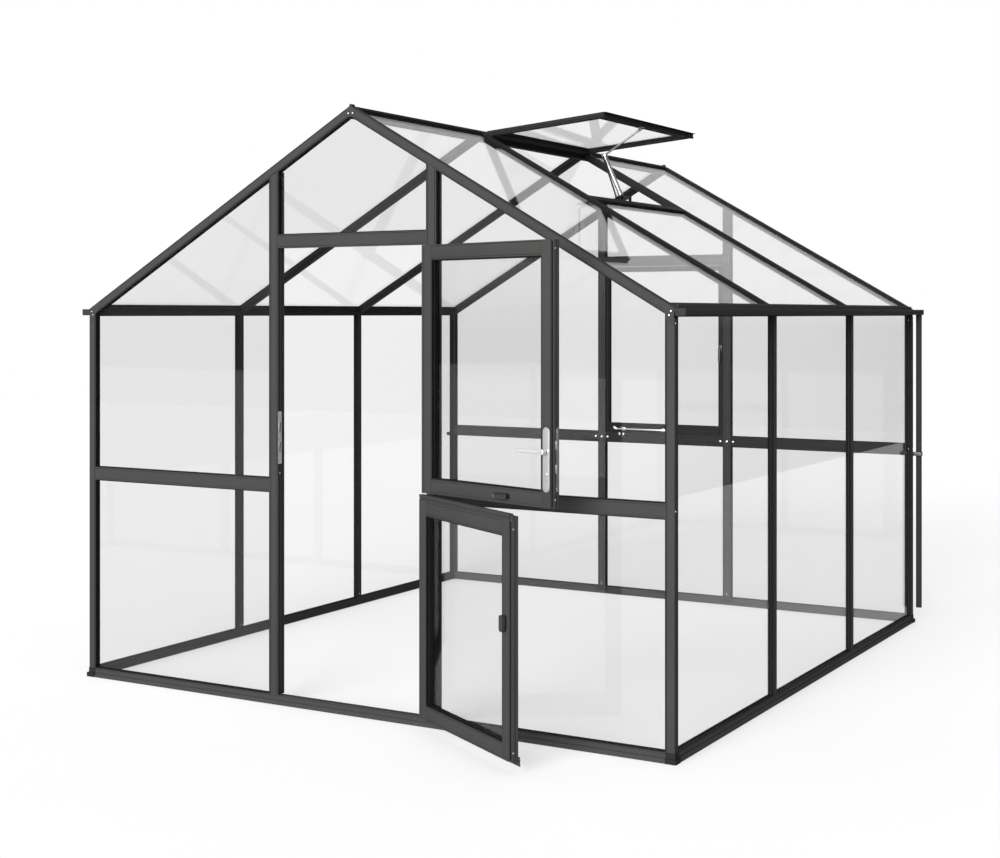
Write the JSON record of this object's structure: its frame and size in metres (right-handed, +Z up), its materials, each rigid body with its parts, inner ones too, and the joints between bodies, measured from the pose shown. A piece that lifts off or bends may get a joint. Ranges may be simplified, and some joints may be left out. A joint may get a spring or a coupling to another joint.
{
  "type": "glass greenhouse",
  "caption": "Gabled glass greenhouse on an anthracite aluminium frame, with a two-leaf stable door, roof vent, rear casement window, gutters and downpipes.",
  "frame": {"origin": "on the ground at the middle of the front sill's outer face", "axes": "+X to the right seen from the front, +Y back along the sides, +Z up"},
  "size_m": [2.854, 3.4916, 2.4454],
  "materials": {
    "anthracite_coat": "satin powder coat",
    "clear_glass": "clear",
    "satin_steel": "satin",
    "black_plastic": "matte"
  },
  "bodies": {
    "house": {"front_sill": "anthracite_coat", "rear_sill": "anthracite_coat", "side_sills": "anthracite_coat", "sill_corner_caps": "black_plastic", "front_corner_posts": "anthracite_coat", "rear_corner_posts": "anthracite_coat", "left_wall_bars": "anthracite_coat", "right_wall_bars": "anthracite_coat", "door_posts": "anthracite_coat", "rear_mullions": "anthracite_coat", "door_lintel": "anthracite_coat", "rear_transom": "anthracite_coat", "front_mid_rails": "anthracite_coat", "rear_mid_rails": "anthracite_coat", "eaves_beams": "anthracite_coat", "ridge_beam": "anthracite_coat", "front_rafters": "anthracite_coat", "rear_rafters": "anthracite_coat", "left_roof_bars": "anthracite_coat", "right_roof_bars": "anthracite_coat", "vent_sill_bar": "anthracite_coat", "left_wall_glass": "clear_glass", "right_wall_glass": "clear_glass", "front_wall_glass": "clear_glass", "front_gable_glass": "clear_glass", "rear_wall_glass": "clear_glass", "rear_gable_glass": "clear_glass", "left_roof_glass": "clear_glass", "right_roof_glass": "clear_glass", "roof_vent_frame": "anthracite_coat", "roof_vent_glass": "clear_glass", "vent_opener": "satin_steel", "rear_window_frame": "anthracite_coat", "rear_window_glass": "clear_glass", "rear_window_stay": "satin_steel", "rear_window_handle": "black_plastic", "gutters": "anthracite_coat", "downpipes": "anthracite_coat", "pipe_clips": "black_plastic", "corner_brackets": "anthracite_coat", "strike_plate": "satin_steel", "door_hinges": "anthracite_coat"},
    "upper leaf": {"upper_leaf_frame": "anthracite_coat", "upper_leaf_glass": "clear_glass", "upper_leaf_lock": "satin_steel"},
    "lower leaf": {"lower_leaf_frame": "anthracite_coat", "lower_leaf_glass": "clear_glass"},
    "lever handle": {"lever_handle": "satin_steel"},
    "upper turn knob": {"upper_turn_knob": "black_plastic"},
    "lower turn knob": {"lower_turn_knob": "black_plastic"}
  },
  "joints": [
    {"name": "upper leaf hinge", "type": "hinge", "parent": "house", "child": "upper leaf", "pos_m": [0.368, -0.012, 1.3], "axis": [0, 0, 1], "range_deg": [-163, 12]},
    {"name": "lower leaf hinge", "type": "hinge", "parent": "house", "child": "lower leaf", "pos_m": [0.368, -0.012, 0.45], "axis": [0, 0, 1], "range_deg": [-149, 26]},
    {"name": "lever turn", "type": "hinge", "parent": "upper leaf", "child": "lever handle", "pos_m": [1.01307, -0.25523, 1.098], "axis": [-0.2924, -0.9563, 0], "range_deg": [0, 40], "stiffness_Nm_per_rad": 0.6, "springref_deg": -34.38},
    {"name": "upper knob turn", "type": "hinge", "parent": "upper leaf", "child": "upper turn knob", "pos_m": [0.80364, -0.1912, 0.929], "axis": [-0.2924, -0.9563, 0], "range_deg": [0, 90]},
    {"name": "lower knob turn", "type": "hinge", "parent": "lower leaf", "child": "lower turn knob", "pos_m": [0.93421, -0.40355, 0.52], "axis": [-0.515, -0.8572, 0], "range_deg": [0, 90]}
  ]
}
